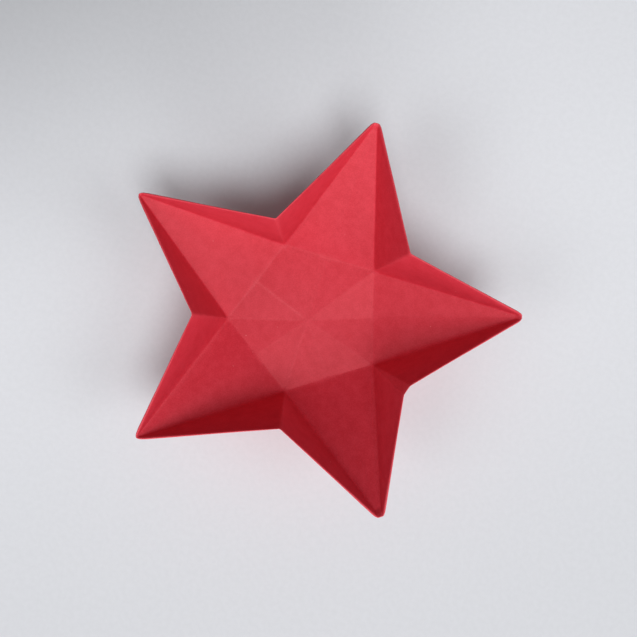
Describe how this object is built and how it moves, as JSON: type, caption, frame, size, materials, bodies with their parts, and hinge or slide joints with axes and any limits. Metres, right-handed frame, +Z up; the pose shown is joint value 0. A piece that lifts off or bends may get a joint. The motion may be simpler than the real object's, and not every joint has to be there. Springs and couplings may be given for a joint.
{
  "type": "origami star box",
  "caption": "Open star-shaped box folded from one sheet of red paper, with a flat floor, sloping points and doubled walls.",
  "frame": {"origin": "middle of the floor, on the table, where the floor's creases cross", "axes": "+Z up out of the open side; +Y towards one point of the star; +X to its right as seen from above"},
  "size_m": [0.1037, 0.096, 0.0269],
  "materials": {
    "red_paper": "matte, slightly grained, paler along the creases"
  },
  "bodies": {
    "root": {"folded_star_box": "red_paper"}
  },
  "joints": []
}
